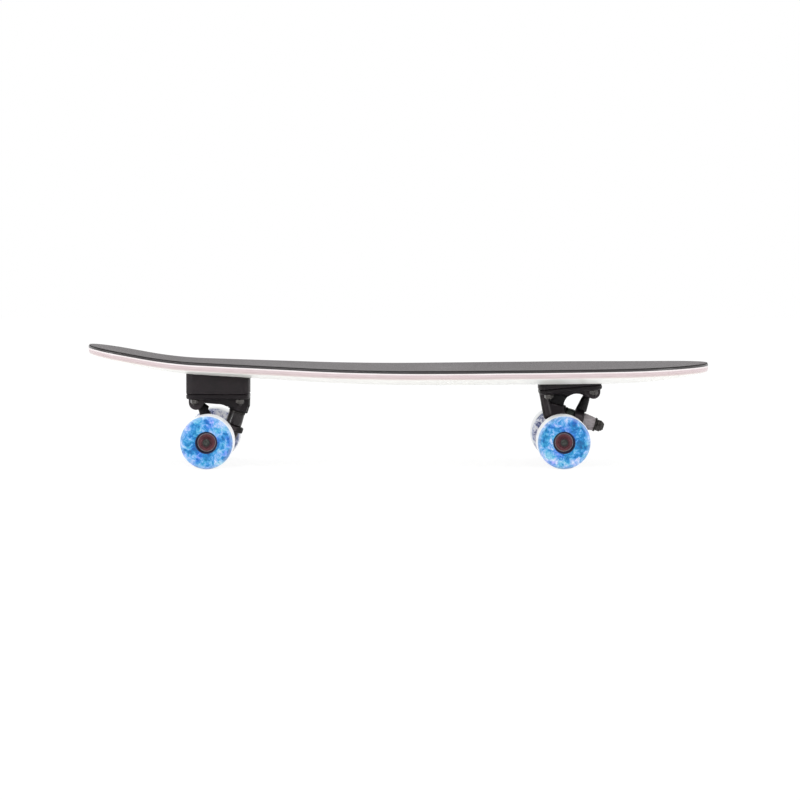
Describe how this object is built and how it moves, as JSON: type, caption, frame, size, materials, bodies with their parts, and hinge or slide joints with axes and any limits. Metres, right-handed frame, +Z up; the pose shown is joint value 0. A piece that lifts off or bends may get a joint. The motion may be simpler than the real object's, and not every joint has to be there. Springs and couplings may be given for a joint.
{
  "type": "cruiser skateboard",
  "caption": "Cruiser skateboard with a pale maple deck, grey grip top, surf-style front truck and marbled blue wheels.",
  "frame": {"origin": "on the floor under the middle of the deck, at the bottom centre of the bounding box", "axes": "+X towards the nose, +Y towards the board's left side, +Z up"},
  "size_m": [0.744, 0.2374, 0.1436],
  "materials": {
    "maple": "satin lacquer over pale pressed maple plies",
    "grip": "coarse grit, matte",
    "riser": "matte black",
    "black_casting": "satin black coating on cast aluminium",
    "black_bolt": "black oxide steel",
    "bolt_nut": "dark zinc, satin",
    "axle_nut": "black oxide steel with a nylon insert",
    "kingpin_steel": "dark zinc, satin",
    "washer": "dark zinc, satin",
    "grey_bushing": "grey urethane, satin",
    "black_bushing": "black urethane, satin",
    "pivot_cup": "black urethane",
    "bright_steel": "bright plain steel",
    "bearing": "dark red shield between steel rings",
    "blue_urethane": "cast urethane with blue, lilac and white swirls"
  },
  "bodies": {
    "deck": {"deck": "maple", "grip_tape": "grip", "front_wedge_riser": "riser", "rear_riser": "riser", "front_baseplate": "black_casting", "front_kingpin": "kingpin_steel", "front_kingpin_nut": "kingpin_steel", "front_boardside_bushing": "black_bushing", "front_roadside_bushing": "grey_bushing", "front_boardside_washer": "washer", "front_roadside_washer": "washer", "front_pivot_cup": "pivot_cup", "front_bolt_1": "black_bolt", "front_bolt_2": "black_bolt", "front_bolt_3": "black_bolt", "front_bolt_4": "black_bolt", "front_bolt_nut_1": "bolt_nut", "front_bolt_nut_2": "bolt_nut", "front_bolt_nut_3": "bolt_nut", "front_bolt_nut_4": "bolt_nut", "rear_baseplate": "black_casting", "rear_kingpin": "kingpin_steel", "rear_kingpin_nut": "kingpin_steel", "rear_boardside_bushing": "black_bushing", "rear_roadside_bushing": "black_bushing", "rear_boardside_washer": "washer", "rear_roadside_washer": "washer", "rear_pivot_cup": "pivot_cup", "rear_bolt_1": "black_bolt", "rear_bolt_2": "black_bolt", "rear_bolt_3": "black_bolt", "rear_bolt_4": "black_bolt", "rear_bolt_nut_1": "bolt_nut", "rear_bolt_nut_2": "bolt_nut", "rear_bolt_nut_3": "bolt_nut", "rear_bolt_nut_4": "bolt_nut"},
    "front_hanger": {"front_hanger": "black_casting", "front_axle": "bright_steel", "front_right_spacer": "bright_steel", "front_right_axle_nut": "axle_nut", "front_left_spacer": "bright_steel", "front_left_axle_nut": "axle_nut"},
    "rear_hanger": {"rear_hanger": "black_casting", "rear_axle": "bright_steel", "rear_right_spacer": "bright_steel", "rear_right_axle_nut": "axle_nut", "rear_left_spacer": "bright_steel", "rear_left_axle_nut": "axle_nut"},
    "front_right_wheel": {"front_right_wheel": "blue_urethane", "front_right_inner_bearing": "bearing", "front_right_outer_bearing": "bearing"},
    "front_left_wheel": {"front_left_wheel": "blue_urethane", "front_left_inner_bearing": "bearing", "front_left_outer_bearing": "bearing"},
    "rear_right_wheel": {"rear_right_wheel": "blue_urethane", "rear_right_inner_bearing": "bearing", "rear_right_outer_bearing": "bearing"},
    "rear_left_wheel": {"rear_left_wheel": "blue_urethane", "rear_left_inner_bearing": "bearing", "rear_left_outer_bearing": "bearing"}
  },
  "joints": [
    {"name": "front_steer", "type": "hinge", "parent": "deck", "child": "front_hanger", "pos_m": [0.2152, 0, 0.0527], "axis": [-0.363, 0, -0.9318], "range_deg": [-20, 20], "stiffness_Nm_per_rad": 40, "deforming": ["front_boardside_bushing", "front_roadside_bushing"]},
    {"name": "rear_steer", "type": "hinge", "parent": "deck", "child": "rear_hanger", "pos_m": [-0.2, 0, 0.0427], "axis": [0.8081, 0, -0.5891], "range_deg": [-15, 15], "stiffness_Nm_per_rad": 40, "deforming": ["rear_boardside_bushing", "rear_roadside_bushing"]},
    {"name": "front_right_wheel_spin", "type": "hinge", "parent": "front_hanger", "child": "front_right_wheel", "pos_m": [0.1938, -0.0805, 0.0315], "axis": [0, 1, 0], "continuous": true},
    {"name": "front_left_wheel_spin", "type": "hinge", "parent": "front_hanger", "child": "front_left_wheel", "pos_m": [0.1938, 0.0805, 0.0315], "axis": [0, 1, 0], "continuous": true},
    {"name": "rear_right_wheel_spin", "type": "hinge", "parent": "rear_hanger", "child": "rear_right_wheel", "pos_m": [-0.2249, -0.0805, 0.0315], "axis": [0, 1, 0], "continuous": true},
    {"name": "rear_left_wheel_spin", "type": "hinge", "parent": "rear_hanger", "child": "rear_left_wheel", "pos_m": [-0.2249, 0.0805, 0.0315], "axis": [0, 1, 0], "continuous": true}
  ]
}
